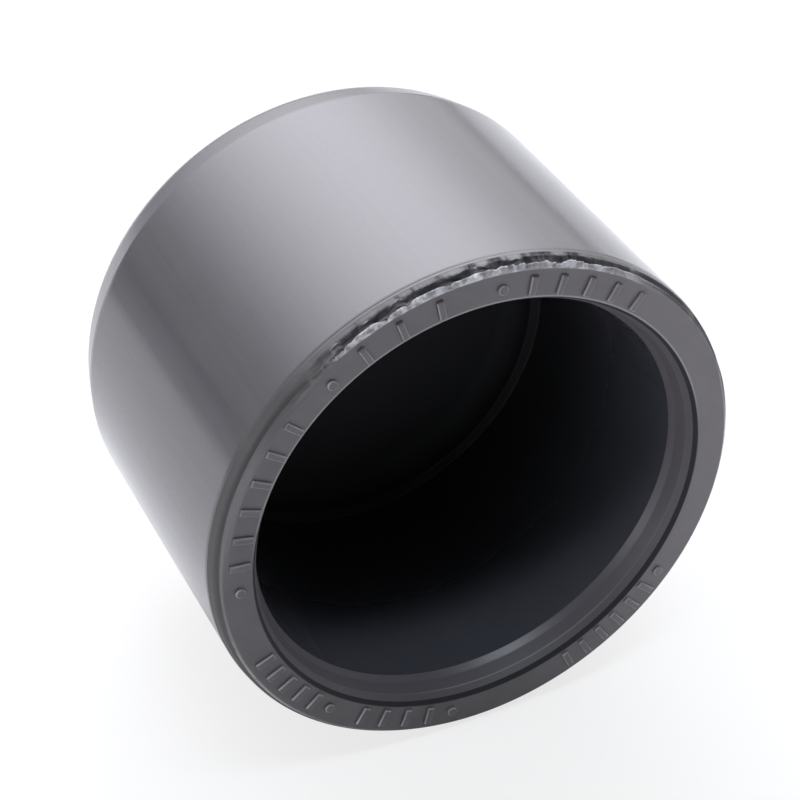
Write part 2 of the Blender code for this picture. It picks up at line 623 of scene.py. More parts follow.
@dataclass
class RimMarks:
    """Plain raised ticks and dots in groups round the rim face."""

    sizes: CapSizes
    tick_inner: float = 21.85 * MM
    tick_outer: float = 23.65 * MM
    tick_width: float = 0.6 * MM
    dot_radius: float = 0.45 * MM
    root: float = 0.3 * MM
    edge: float = 0.11 * MM
    edge_steps: int = 3
    dot_sides: int = 24
    front_share: float = 0.9
    groups: tuple[tuple[float, int, float], ...] = (
        (52.0, 5, 7.0),
        (101.0, 3, 9.0),
        (140.0, 6, 7.0),
        (204.0, 5, 5.0),
        (239.0, 4, 6.0),
        (294.0, 6, 5.0),
    )

    def build(self) -> bpy.types.Object:
        """Build all the marks.

        Returns:
            One object of separate closed shapes.
        """
        models = {Mark.TICK: self._tick(), Mark.DOT: self._dot()}
        copies = []
        for first, count, pitch in self.groups:
            for index in range(count):
                copies.append(self._copy(models[Mark.TICK], first + index * pitch))
            copies.append(self._copy(models[Mark.DOT], first + count * pitch))
        start_fresh()
        for model in models.values():
            bpy.data.objects.remove(model, do_unlink=True)
        for copy in copies:
            copy.select_set(True)
        bpy.context.view_layer.objects.active = copies[0]
        bpy.ops.object.transform_apply(location=True, rotation=True, scale=True)
        bpy.ops.object.join()
        marks = bpy.context.view_layer.objects.active
        marks.name = "rim_marks"
        return marks

    def _height(self) -> float:
        """Return how tall a mark is with its root."""
        return self.sizes.mark_height + self.root

    def _middle(self) -> float:
        """Return the depth of a mark's middle."""
        return (self.root - self.sizes.mark_height) / 2

    def _tick(self) -> bpy.types.Object:
        """Build one tick on the right of the rim.

        Returns:
            The tick, with its top edges rounded.
        """
        start_fresh()
        place = self.sizes.point((self.tick_inner + self.tick_outer) / 2, self._middle())
        bpy.ops.mesh.primitive_cube_add(size=1.0, location=place)
        tick = bpy.context.active_object
        tick.scale = (self.tick_outer - self.tick_inner, self._height(), self.tick_width)
        return self._soften(tick)

    def _dot(self) -> bpy.types.Object:
        """Build one dot on the right of the rim.

        Returns:
            The dot, with its top edge rounded.
        """
        start_fresh()
        place = self.sizes.point((self.tick_inner + self.tick_outer) / 2, self._middle())
        bpy.ops.mesh.primitive_cylinder_add(
            vertices=self.dot_sides,
            radius=self.dot_radius,
            depth=self._height(),
            location=place,
            rotation=(math.pi / 2, 0.0, 0.0),
        )
        return self._soften(bpy.context.active_object)

    def _soften(self, mark: bpy.types.Object) -> bpy.types.Object:
        """Apply a mark's place, then round the edges of its outer face.

        Args:
            mark: The mark, as a bare primitive.

        Returns:
            The same mark.
        """
        bpy.ops.object.transform_apply(location=True, rotation=True, scale=True)
        front = self.sizes.rim_plane - self.sizes.mark_height * self.front_share
        bpy.ops.object.mode_set(mode="EDIT")
        bpy.ops.mesh.select_mode(type="VERT")
        bpy.ops.mesh.select_all(action="DESELECT")
        bpy.ops.object.mode_set(mode="OBJECT")
        for vertex in mark.data.vertices:
            vertex.select = vertex.co.y < front
        bpy.ops.object.mode_set(mode="EDIT")
        bpy.ops.mesh.select_mode(type="EDGE")
        bpy.ops.mesh.bevel(offset=self.edge, segments=self.edge_steps, affect="EDGES")
        bpy.ops.object.mode_set(mode="OBJECT")
        return mark

    def _copy(self, model: bpy.types.Object, degrees: float) -> bpy.types.Object:
        """Copy a mark and turn the copy round the axis.

        Args:
            model: The mark, on the right of the rim.
            degrees: Angle round the rim.

        Returns:
            The copy, with its own mesh.
        """
        copy = model.copy()
        copy.data = model.data.copy()
        bpy.context.collection.objects.link(copy)
        centre = Matrix.Translation(self.sizes.point(0.0, 0.0))
        turn = Matrix.Rotation(-math.radians(degrees), 4, "Y")
        copy.matrix_world = centre @ turn @ centre.inverted()
        return copy


@dataclass
class CapBody:
    """The moulding: its turned section, torn rim edge, raised marks and finishes."""

    sizes: CapSizes
    edge: RimEdge = field(default_factory=RimEdge)
    turn_steps: int = 360
    weld: float = 0.002 * MM
    sharp_angle: float = math.radians(38.0)
    rim_crease: float = 0.026 * MM
    end_crease: float = 0.014 * MM
    crease_half: float = 0.06 * MM
    support: float = 0.4 * MM
    stop_rounding: float = 0.16 * MM
    root_rounding: float = 0.20 * MM
    mouth_rounding: float = 0.12 * MM
    lead_in_widening: float = 0.36 * MM
    lead_in_height: float = 0.7 * MM
    lead_in_rounding: float = 1.2 * MM
    ledge_inner_rounding: float = 0.09 * MM
    rim_rounding: float = 0.08 * MM
    face_start: float = 22.2 * MM
    gate_radius: float = 4.0 * MM
    gate_floor_radius: float = 3.7 * MM
    gate_depth: float = 0.3 * MM
    gate_rounding: float = 0.15 * MM
    pip_radius: float = 1.15 * MM
    pip_top_radius: float = 1.05 * MM
    pip_depth: float = 0.1 * MM
    pip_foot_rounding: float = 0.08 * MM
    pip_top_rounding: float = 0.07 * MM
    end_margin: float = 0.2 * MM
    stop_margin: float = 0.05 * MM
    step_margins: Span = (0.03 * MM, 0.04 * MM)
    socket_margin: float = 0.06 * MM
    rim_reach: float = 0.35 * MM

    def section(self) -> list[Vector]:
        """Lay out the section that is turned.

        Returns:
            Points of radius and depth, from the inside of the end wall, out over the rim, to the closed end.
        """
        size = self.sizes
        inner_end = size.stop_depth + size.recess_depth
        outer = size.outer_radius
        crease_depth = self.edge.corner_depth + self.crease_half
        band_foot = outer - (size.length - size.band_start) * math.tan(size.band_angle)
        inside = [
            Corner(0.0, inner_end),
            Corner(size.recess_radius, inner_end, size.recess_fillet, 8),
            Corner(size.recess_radius, size.stop_depth, self.stop_rounding),
            Corner(size.socket_root_radius, size.stop_depth, self.root_rounding),
            Corner(size.socket_mouth_radius, size.lead_in_depth, self.mouth_rounding, 4),
            Corner(
                size.socket_mouth_radius + self.lead_in_widening,
                size.lead_in_depth - self.lead_in_height,
                self.lead_in_rounding,
                6,
            ),
            Corner(size.ledge_inner_radius, size.ledge_inner_depth, self.ledge_inner_rounding, 4),
            Corner(size.ledge_outer_radius, size.ledge_outer_depth, self.rim_rounding, 4),
            Corner(size.rim_inner_radius, 0.0, self.rim_rounding, 4),
            Corner(self.face_start, 0.0),
        ]
        across = self.edge.clean()
        edge = [across.at(row / self.edge.rows) for row in range(self.edge.rows + 1)]
        wall = [
            Corner(outer - self.rim_crease, crease_depth),
            Corner(outer, crease_depth + self.crease_half),
            Corner(outer, crease_depth + self.support),
            Corner(outer, size.band_start - self.support),
        ]
        gate_floor = size.length - self.gate_depth
        pip_top = size.length - self.pip_depth
        closed = [
            Corner(outer, size.band_start - self.crease_half),
            Corner(outer - self.end_crease, size.band_start),
            Corner(outer - 0.3 * self.end_crease, size.band_start + self.crease_half),
            Corner(band_foot, size.length, size.end_fillet, 12),
            Corner(self.gate_radius, size.length, self.gate_rounding, 3),
            Corner(self.gate_floor_radius, gate_floor, self.gate_rounding, 3),
            Corner(self.pip_radius, gate_floor, self.pip_foot_rounding, 3),
            Corner(self.pip_top_radius, pip_top, self.pip_top_rounding, 3),
            Corner(0.0, pip_top),
        ]
        return rounded(inside) + edge + rounded(wall + closed)

    def build(self) -> bpy.types.Object:
        """Build the moulding.

        Returns:
            The finished mesh, still without its materials.
        """
        body = self._turn(self.section())
        self._tear_edge(body)
        self._raise_marks(body)
        self._shade(body)
        return body

    def _turn(self, section: Sequence[Vector]) -> bpy.types.Object:
        """Draw the section by extruding a vertex along it, then spin it round the axis.

        Args:
            section: Points of radius and depth.

        Returns:
            The turned body.
        """
        size = self.sizes
        start_fresh()
        places = [size.point(point.x, point.y) for point in section]
        bpy.ops.mesh.primitive_plane_add(size=MM, location=places[0])
        body = bpy.context.active_object
        body.name = "cap_moulding"
        bpy.ops.object.transform_apply(location=True)
        bpy.ops.object.mode_set(mode="EDIT")
        bpy.ops.mesh.select_all(action="SELECT")
        bpy.ops.mesh.merge(type="CENTER")
        for here, ahead in zip(places, places[1:]):
            bpy.ops.mesh.extrude_region_move(TRANSFORM_OT_translate={"value": ahead - here})
        bpy.ops.mesh.select_all(action="SELECT")
        bpy.ops.mesh.spin(
            steps=self.turn_steps,
            angle=2.0 * math.pi,
            center=size.point(0.0, 0.0),
            axis=(0.0, 1.0, 0.0),
        )
        bpy.ops.mesh.select_all(action="SELECT")
        bpy.ops.mesh.remove_doubles(threshold=self.weld)
        bpy.ops.mesh.normals_make_consistent(inside=False)
        bpy.ops.object.mode_set(mode="OBJECT")
        return body

    def _tear_edge(self, body: bpy.types.Object) -> None:
        """Cut the rim's edge into fine columns where it isn't plain, then trim and tear it.

        Args:
            body: The moulding.
        """
        edge = self.edge
        spots = self._edge_spots(body)
        pick(body)
        bpy.ops.object.mode_set(mode="EDIT")
        bpy.ops.mesh.select_mode(type="EDGE")
        bpy.ops.mesh.select_all(action="DESELECT")
        bpy.ops.object.mode_set(mode="OBJECT")
        for line in body.data.edges:
            first, second = (spots.get(index) for index in line.vertices)
            line.select = first is not None and second is not None and first[0] == second[0]
        bpy.ops.object.mode_set(mode="EDIT")
        bpy.ops.mesh.subdivide(number_cuts=edge.columns_per_step - 1)
        bpy.ops.object.mode_set(mode="OBJECT")
        paths = (edge.clean(), edge.torn(), edge.trimmed())
        for index, (row, degrees) in self._edge_spots(body).items():
            radius, depth = edge.place(row / edge.rows, degrees, paths)
            body.data.vertices[index].co = self.sizes.point(radius, depth, math.radians(degrees))

    def _edge_spots(self, body: bpy.types.Object) -> dict[int, tuple[int, float]]:
        """Find the points of the rim's edge that aren't plain.

        Args:
            body: The turned body, with its edge still clean.

        Returns:
            The row across the edge and the angle in degrees of each such point, by its index.
        """
        edge = self.edge
        across = edge.clean()
        rows = [across.at(row / edge.rows) for row in range(edge.rows + 1)]
        spots = {}
        for vertex in body.data.vertices:
            radius, depth, angle = self.sizes.polar(vertex.co)
            degrees = math.degrees(angle) % 360.0
            near = radius > edge.inner_radius - self.weld and depth < edge.corner_depth + self.weld
            if near and edge.first_angle < degrees < edge.last_angle:
                here = Vector((radius, depth))
                row = min(range(len(rows)), key=lambda index: (rows[index] - here).length_squared)
                spots[vertex.index] = (row, degrees)
        return spots

    def _raise_marks(self, body: bpy.types.Object) -> None:
        """Join the raised marks to the rim face.

        Args:
            body: The moulding.
        """
        marks = RimMarks(self.sizes).build()
        pick(body)
        join = body.modifiers.new("raise_marks", "BOOLEAN")
        join.operation = "UNION"
        join.solver = "MANIFOLD"
        join.object = marks
        bpy.ops.object.modifier_apply(modifier=join.name)
        bpy.data.objects.remove(marks, do_unlink=True)

    def _shade(self, body: bpy.types.Object) -> None:
        """Smooth all but the sharp edges, and let large faces lead so that the walls stay straight.

        Args:
            body: The moulding.
        """
        pick(body)
        bpy.ops.object.shade_smooth_by_angle(angle=self.sharp_angle)
        lead = body.modifiers.new("large_faces_lead", "WEIGHTED_NORMAL")
        lead.keep_sharp = True
        bpy.ops.object.modifier_apply(modifier=lead.name)

    def zone(self, face: bpy.types.MeshPolygon) -> Zone:
        """Find which zone a face is in, by its place.

        Args:
            face: The face.

        Returns:
            The zone.
        """
        size = self.sizes
        radius, depth, _ = size.polar(face.center)
        step_start = size.ledge_outer_radius + self.step_margins[0]
        step_end = size.rim_inner_radius - self.step_margins[1]
        if depth > size.stop_depth + size.recess_depth + self.end_margin:
            return Zone.CLOSED_END if depth > size.band_start else Zone.WALL
        if depth > size.stop_depth - self.stop_margin and radius < size.rim_inner_radius:
            return Zone.DULL
        if step_start < radius < step_end:
            return Zone.DULL
        if radius < size.rim_inner_radius + self.socket_margin:
            return Zone.SOCKET
        if radius > self.edge.inner_radius and depth < self.edge.corner_depth:
            return Zone.FLASH
        if depth < self.rim_reach:
            return Zone.RIM
        return Zone.WALL

    def _note_tears(self, body: bpy.types.Object) -> None:
        """Keep how far the edge is torn or trimmed at each point, for the edge's finish to read.

        Args:
            body: The moulding.
        """
        torn = body.data.attributes.new("torn", "FLOAT", "POINT")
        for vertex in body.data.vertices:
            degrees = math.degrees(self.sizes.polar(vertex.co)[2]) % 360.0
            kept = 1.0 - self.edge.trimmed_share(degrees)
            torn.data[vertex.index].value = self.edge.torn_share(degrees) * kept

    def dress(self, body: bpy.types.Object) -> None:
        """Give each zone its finish, and tie the piece to the frame.

        Args:
            body: The moulding.
        """
        finishes = {
            Zone.WALL: SatinWall(),
            Zone.RIM: MattRim(),
            Zone.SOCKET: PolishedSocket(),
            Zone.CLOSED_END: ClosedEnd(),
            Zone.FLASH: TornEdge(),
            Zone.DULL: DullShadedPlastic(),
        }
        self._note_tears(body)
        body.data.materials.clear()
        for zone in Zone:
            body.data.materials.append(finishes[zone].material(self.sizes))
        for face in body.data.polygons:
            face.material_index = self.zone(face).value
        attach(body, "root")
        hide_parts("cap_body")


@dataclass(frozen=True)
class CapSpace:
    """Shader values for a place on the cap: coordinates, radius, depth, and how far across and up it is."""

    coords: Wire
    radius: Wire
    depth: Wire
    across: Wire
    up: Wire

    @classmethod
    def of(cls, graph: Graph, sizes: CapSizes) -> CapSpace:
        """Work out the values in a graph, from Object coordinates.

        Args:
            graph: The material's graph.
            sizes: The cap's sizes.

        Returns:
            The values.
        """
        coords = graph.node("TexCoord", output="Object")
        across = graph.node("SeparateXYZ", {}, {0: coords}, "X")
        up = across.other("Z") - sizes.axis_height
        radius = graph.maths("SQRT", across * across + up * up)
        return cls(coords, radius, across.other("Y") - sizes.rim_plane, across, up)


@dataclass(frozen=True)
class SatinWall:
    """Satin plastic of the outside, with faint draw lines along the axis over a fine grain."""

    colour: Colour = (0.064, 0.0615, 0.068)
    wear_and_highlight_colour: Colour = (0.098, 0.094, 0.103)
    roughness: float = 0.158
    line_scales: tuple[float, float, float] = (2600.0, 45.0, 2600.0)
    patch_scale: float = 160.0
    peel_scale: float = 5200.0
    line_relief: float = 0.0034 * MM
    peel_relief: float = 0.0048 * MM

    def material(self, sizes: CapSizes) -> bpy.types.Material:
        """Make the finish.

        Args:
            sizes: The cap's sizes.

        Returns:
            The material.
        """
        graph = Graph(bpy.data.materials.new("satin_wall"))
        space = CapSpace.of(graph, sizes)
        lines = graph.grain(graph.stretch(space.coords, self.line_scales), 1.0, 2.0)
        patches = graph.grain(space.coords, self.patch_scale)
        peel = graph.grain(space.coords, self.peel_scale, 2.0)
        colour = graph.mix(0.25 * patches + 0.40 * lines + 0.30 * peel, self.colour, self.wear_and_highlight_colour)
        rough = self.roughness + 0.05 * (patches - 0.5) + 0.08 * (lines - 0.5)
        normal = graph.bump(lines, self.line_relief)
        normal = graph.bump(peel, self.peel_relief, normal)
        return graph.plastic(colour, rough, normal)


@dataclass(frozen=True)
class MattRim:
    """Matt plastic of the rim face, with painted light towards its right and painted highlights on the edges
    of its raised marks and along the top of its inner edge.
    """

    colour: Colour = (0.086, 0.0785, 0.084)
    pale_colour: Colour = (0.166, 0.152, 0.161)
    # Colour of the painted highlight on the flanks of the raised marks.
    edge_highlight_colour: Colour = (0.30, 0.295, 0.30)
    # On the rim, this is the colour of the painted highlight along the top of the inner edge.
    wear_and_highlight_colour: Colour = (0.27, 0.265, 0.27)
    roughness: float = 0.40
    patch_scale: float = 420.0
    grit_scale: float = 4200.0
    grit_relief: float = 0.006 * MM
    # Span over which painted light makes the rim face paler towards the right.
    painted_light_right: Span = (2.0 * MM, 20.0 * MM)
    mark_foot: Span = (-0.06 * MM, -0.16 * MM)
    mark_top: Span = (-0.298 * MM, -0.275 * MM)
    inner_highlight_radius: Span = (21.74 * MM, 21.60 * MM)
    inner_highlight_above: Span = (0.0, 9.0 * MM)

    def face_colour(self, graph: Graph, space: CapSpace, patches: Wire) -> Wire:
        """Return the colour of the bare face, paler in patches, with painted light towards the right.

        Args:
            graph: The material's graph.
            space: Places on the cap.
            patches: Noise that sets where the patches are.

        Returns:
            The colour.
        """
        # Painted light: the face is paler towards the right, as if lit more from there.
        patches_and_painted_light = 0.5 * patches + 0.5 * graph.ease(space.across, *self.painted_light_right)
        return graph.mix(patches_and_painted_light, self.colour, self.pale_colour)

    def material(self, sizes: CapSizes) -> bpy.types.Material:
        """Make the finish.

        Args:
            sizes: The cap's sizes.

        Returns:
            The material.
        """
        graph = Graph(bpy.data.materials.new("matt_rim"))
        space = CapSpace.of(graph, sizes)
        patches = graph.grain(space.coords, self.patch_scale)
        grit = graph.grain(space.coords, self.grit_scale)
        # Painted highlight: the flanks of the raised marks are paler, where their edges would catch the
        # light.
        painted_flank_highlight = graph.ease(space.depth, *self.mark_foot) * graph.ease(space.depth, *self.mark_top)
        # Painted highlight: a pale line along the top of the inner edge.
        painted_edge_highlight = graph.ease(space.radius, *self.inner_highlight_radius) * graph.ease(space.up, *self.inner_highlight_above)
        colour = self.face_colour(graph, space, patches)
        colour = graph.mix(painted_flank_highlight, colour, self.edge_highlight_colour)
        colour = graph.mix(painted_edge_highlight, colour, self.wear_and_highlight_colour)
        rough = self.roughness + 0.10 * (grit - 0.5)
        return graph.plastic(colour, rough, graph.bump(grit, self.grit_relief))


@dataclass(frozen=True)
class TornEdge:
    """Plastic of the rim's outer edge: satin, matt where cut, white on the torn lip, with painted shade in
    its groove and on the cut corner.
    """

    rim: MattRim = MattRim()
    colour: Colour = (0.100, 0.097, 0.104)
    pale_colour: Colour = (0.128, 0.123, 0.128)
    white_colour: Colour = (0.64, 0.64, 0.67)
    # Colour of the painted shade in the groove under the lip.
    groove_shade_colour: Colour = (0.034, 0.033, 0.037)
    rubbed_colour: Colour = (0.23, 0.215, 0.205)
    # Colours of the cut corner, painted dark as shade.
    cut_shade_colour: Colour = (0.030, 0.027, 0.029)
    pale_cut_shade_colour: Colour = (0.050, 0.046, 0.049)
    roughness: float = 0.24
    shred_scale: float = 2200.0
    tuft_scale: float = 800.0
    blotch_scale: float = 560.0
    grit_relief: float = 0.004 * MM
    shred_relief: float = 0.018 * MM
    face_depth: Span = (0.10 * MM, 0.02 * MM)
    lip_radius: Span = (24.16 * MM, 24.30 * MM)
    lip_depth: Span = (0.22 * MM, 0.12 * MM)
    lip_torn: Span = (0.35, 0.95)
    lip_thins_right: Span = (9.0 * MM, 16.0 * MM)
    groove_depth: Span = (0.16 * MM, 0.26 * MM)
    groove_radius: Span = (24.90 * MM, 24.80 * MM)
    groove_torn: Span = (0.15, 0.55)
    rubbed_inside: Span = (24.22 * MM, 24.36 * MM)
    rubbed_outside: Span = (24.56 * MM, 24.42 * MM)
    rubbed_and_highlit_below: Span = (-3.0 * MM, -11.0 * MM)
    rubbed_left: Span = (-4.0 * MM, -11.0 * MM)
    cut_radius: Span = (24.34 * MM, 24.48 * MM)
    cut_left: Span = (-7.0 * MM, -13.0 * MM)
    cut_left_below: Span = (22.0 * MM, 17.0 * MM)
    cut_right: Span = (13.0 * MM, 18.0 * MM)
    cut_right_above: Span = (1.0 * MM, 5.0 * MM)
    cut_right_radius: Span = (24.94 * MM, 24.88 * MM)

    def material(self, sizes: CapSizes) -> bpy.types.Material:
        """Make the finish.

        Args:
            sizes: The cap's sizes.

        Returns:
            The material.
        """
        graph = Graph(bpy.data.materials.new("torn_edge"))
        space = CapSpace.of(graph, sizes)
        torn = graph.node("Attribute", {"attribute_name": "torn"}, {}, "Fac")
        patches = graph.grain(space.coords, self.rim.patch_scale)
        grit = graph.grain(space.coords, self.rim.grit_scale)
        shreds = graph.grain(space.coords, self.shred_scale, 4.0)
        on_face = graph.ease(space.depth, *self.face_depth)
        white = self._white(graph, space, torn, shreds)
        groove_shade = self._groove_shade(graph, space, torn)
        cut = self._cut_and_shade(graph, space)
        colour = graph.mix(patches, self.colour, self.pale_colour)
        # On the rim face the edge takes the face's colour, with its painted light towards the right.
        colour = graph.mix(on_face, colour, self.rim.face_colour(graph, space, patches))
        # The cut corner is matt, and its colour is painted shade.
        colour = graph.mix(cut, colour, graph.mix(patches, self.cut_shade_colour, self.pale_cut_shade_colour))
        colour = graph.mix(self._rubbed(graph, space, patches), colour, self.rubbed_colour)
        # Painted shade in the groove under the torn lip.
        colour = graph.mix(groove_shade, colour, self.groove_shade_colour)
        colour = graph.mix(white, colour, self.white_colour)
        rough = self.roughness + 0.16 * on_face + 0.10 * (grit - 0.5)
        rough = rough + 0.45 * groove_shade + 0.25 * white + 0.42 * cut
        normal = graph.bump(grit, self.grit_relief)
        normal = graph.bump(shreds * white, self.shred_relief, normal)
        return graph.plastic(colour, rough, normal)

    def _white(self, graph: Graph, space: CapSpace, torn: Wire, shreds: Wire) -> Wire:
        """Find where the torn lip is white: in tufts, and less so on the right.

        Args:
            graph: The material's graph.
            space: Places on the cap.
            torn: How far the edge is torn.
            shreds: Fine noise along the lip.

        Returns:
            The share of white.
        """
        tufts = graph.grain(space.coords, self.tuft_scale, 2.0)
        on_lip = graph.ease(space.radius, *self.lip_radius) * graph.ease(space.depth, *self.lip_depth)
        fluffy = 0.22 + 0.58 * graph.ease(tufts, 0.42, 0.58) + 0.20 * graph.ease(shreds, 0.35, 0.60)
        thinned = 1.0 - 0.5 * graph.ease(space.across, *self.lip_thins_right)
        return on_lip * graph.ease(torn, *self.lip_torn) * fluffy * thinned

    def _groove_shade(self, graph: Graph, space: CapSpace, torn: Wire) -> Wire:
        """Find where the groove under the lip gets painted shade: in blotches.

        Args:
            graph: The material's graph.
            space: Places on the cap.
            torn: How far the edge is torn.

        Returns:
            The share of painted shade.
        """
        blotches = graph.grain(space.coords, self.blotch_scale)
        sunk = graph.ease(space.depth, *self.groove_depth) * graph.ease(space.radius, *self.groove_radius)
        return sunk * graph.ease(torn, *self.groove_torn) * (0.25 + 0.75 * graph.ease(blotches, 0.36, 0.54))

    def _rubbed(self, graph: Graph, space: CapSpace, patches: Wire) -> Wire:
        """Find where the lower left corner is rubbed pale: in patches.

        Args:
            graph: The material's graph.
            space: Places on the cap.
            patches: Noise that sets where the patches are.

        Returns:
            The share of pale.
        """
        line = graph.ease(space.radius, *self.rubbed_inside) * graph.ease(space.radius, *self.rubbed_outside)
        low = graph.ease(space.up, *self.rubbed_and_highlit_below) * graph.ease(space.across, *self.rubbed_left)
        return line * low * graph.ease(patches, 0.30, 0.55)

    def _cut_and_shade(self, graph: Graph, space: CapSpace) -> Wire:
        """Find where the corner is cut matt and painted dark as shade: on the left, and in a thinner band on
        the right.

        Args:
            graph: The material's graph.
            space: Places on the cap.

        Returns:
            The share of cut surface, with its painted shade.
        """
        corner = graph.ease(space.radius, *self.cut_radius)
        left = graph.ease(space.across, *self.cut_left) * graph.ease(space.up, *self.cut_left_below)
        right = graph.ease(space.across, *self.cut_right) * graph.ease(space.up, *self.cut_right_above)
        return corner * (left + right * graph.ease(space.radius, *self.cut_right_radius))


@dataclass(frozen=True)
class PolishedSocket:
    """Glossy plastic of the socket, left by the polished core, with a hazy lead-in, painted shade deeper in
    and on the step, and painted highlights along its edges.
    """

    colour: Colour = (0.075, 0.077, 0.092)
    hazy_colour: Colour = (0.088, 0.090, 0.106)
    lead_in_colour: Colour = (0.127, 0.118, 0.131)
    ledge_colour: Colour = (0.096, 0.089, 0.099)
    # Colour of the painted shade on the step at the mouth.
    step_shade_colour: Colour = (0.036, 0.035, 0.038)
    # Colour of the painted shade deeper in the socket.
    deep_shade_colour: Colour = (0.026, 0.026, 0.029)
    edge_highlight_colour: Colour = (0.24, 0.235, 0.24)
    roughness: float = 0.15
    lead_in_roughness: float = 0.37
    ledge_roughness: float = 0.55
    deep_roughness: float = 0.50
    haze_scale: float = 260.0
    deep_start: float = 6.0 * MM
    deep_share: float = 0.9
    lead_in_margins: Span = (0.05 * MM, -0.08 * MM)
    ledge_margins: Span = (0.02 * MM, -0.04 * MM)
    step_margins: Span = (0.05 * MM, -0.05 * MM)
    # Spans of the painted highlight along the lead-in's edge line, strongest low down, and along the top of
    # the rim's inner edge.
    line_highlight_start: Span = (0.90 * MM, 0.98 * MM)
    line_highlight_end: Span = (1.10 * MM, 1.02 * MM)
    rubbed_and_highlit_below: Span = (-13.0 * MM, -18.0 * MM)
    stronger_highlight_right: Span = (-8.0 * MM, -2.0 * MM)
    edge_highlight_radius: Span = (21.46 * MM, 21.53 * MM)
    edge_highlight_above: Span = (0.0, 9.0 * MM)

    def material(self, sizes: CapSizes) -> bpy.types.Material:
        """Make the finish.

        Args:
            sizes: The cap's sizes.

        Returns:
            The material.
        """
        graph = Graph(bpy.data.materials.new("polished_socket"))
        space = CapSpace.of(graph, sizes)
        haze = graph.grain(space.coords, self.haze_scale)
        deep = graph.ease(space.depth, self.deep_start, self.deep_share * sizes.stop_depth)
        lead_in = graph.ease(space.depth, *beside(sizes.lead_in_depth, self.lead_in_margins))
        ledge = graph.ease(space.depth, *beside(sizes.ledge_inner_depth, self.ledge_margins))
        step = graph.ease(space.depth, *beside(sizes.ledge_outer_depth, self.step_margins))
        painted_edge_highlight = graph.ease(space.depth, *self.line_highlight_start) * graph.ease(space.depth, *self.line_highlight_end)
        low_highlight = graph.ease(space.up, *self.rubbed_and_highlit_below) * graph.ease(space.across, *self.stronger_highlight_right)
        edge = graph.ease(space.radius, *self.edge_highlight_radius) * graph.ease(space.up, *self.edge_highlight_above)
        colour = graph.mix(haze, self.colour, self.hazy_colour)
        # Painted shade: darker deeper into the socket.
        colour = graph.mix(deep, colour, self.deep_shade_colour)
        colour = graph.mix(lead_in, colour, self.lead_in_colour)
        colour = graph.mix(ledge, colour, self.ledge_colour)
        # Painted highlight along the lead-in's edge line, strongest low down.
        colour = graph.mix(painted_edge_highlight * (0.15 + 0.65 * low_highlight), colour, self.edge_highlight_colour)
        # Painted shade on the step at the mouth.
        colour = graph.mix(step, colour, self.step_shade_colour)
        # Painted highlight along the top of the rim's inner edge.
        colour = graph.mix(edge, colour, self.edge_highlight_colour)
        hazy = self.lead_in_roughness - self.roughness
        dull = self.deep_roughness - self.roughness
        hazier = self.ledge_roughness - self.lead_in_roughness
        rough = self.roughness + hazy * lead_in + hazier * ledge + dull * deep + 0.06 * (haze - 0.5)
        return graph.plastic(colour, rough)


@dataclass(frozen=True)
class DullShadedPlastic:
    """Dull plastic of the step at the mouth, the pipe stop and the recess behind it, painted dark as shade.
    """

    colour: Colour = (0.028, 0.028, 0.031)
    hazy_colour: Colour = (0.036, 0.036, 0.039)
    roughness: float = 0.70
    specular: float = 0.16
    haze_scale: float = 260.0

    def material(self, sizes: CapSizes) -> bpy.types.Material:
        """Make the finish.

        Args:
            sizes: The cap's sizes.

        Returns:
            The material.
        """
        graph = Graph(bpy.data.materials.new("dull_plastic"))
        space = CapSpace.of(graph, sizes)
        haze = graph.grain(space.coords, self.haze_scale)
        # Painted shade: this plastic is coloured darker than the rest of the cap.
        colour = graph.mix(haze, self.colour, self.hazy_colour)
        rough = self.roughness + 0.08 * (haze - 0.5)
        return graph.plastic(colour, rough, specular=self.specular)


@dataclass(frozen=True)
class ClosedEnd:
    """Satin plastic of the closed end, with faint rings from the turned mould."""

    colour: Colour = (0.097, 0.094, 0.104)
    wear_and_highlight_colour: Colour = (0.116, 0.112, 0.123)
    roughness: float = 0.23
    ring_scale: float = 2400.0
    patch_scale: float = 180.0
    peel_scale: float = 5000.0
    ring_relief: float = 0.0015 * MM
    peel_relief: float = 0.0016 * MM

    def material(self, sizes: CapSizes) -> bpy.types.Material:
        """Make the finish.

        Args:
            sizes: The cap's sizes.

        Returns:
            The material.
        """
        graph = Graph(bpy.data.materials.new("closed_end"))
        space = CapSpace.of(graph, sizes)
        ring_place = graph.node("CombineXYZ", {}, {"X": space.radius, "Y": space.depth})
        rings = graph.grain(ring_place, self.ring_scale, 2.0)
        patches = graph.grain(space.coords, self.patch_scale)
        peel = graph.grain(space.coords, self.peel_scale, 2.0)
        colour = graph.mix(0.5 * patches + 0.25 * rings, self.colour, self.wear_and_highlight_colour)
        rough = self.roughness + 0.06 * (patches - 0.5) + 0.06 * (rings - 0.5)
        normal = graph.bump(rings, self.ring_relief)
        normal = graph.bump(peel, self.peel_relief, normal)
        return graph.plastic(colour, rough, normal)


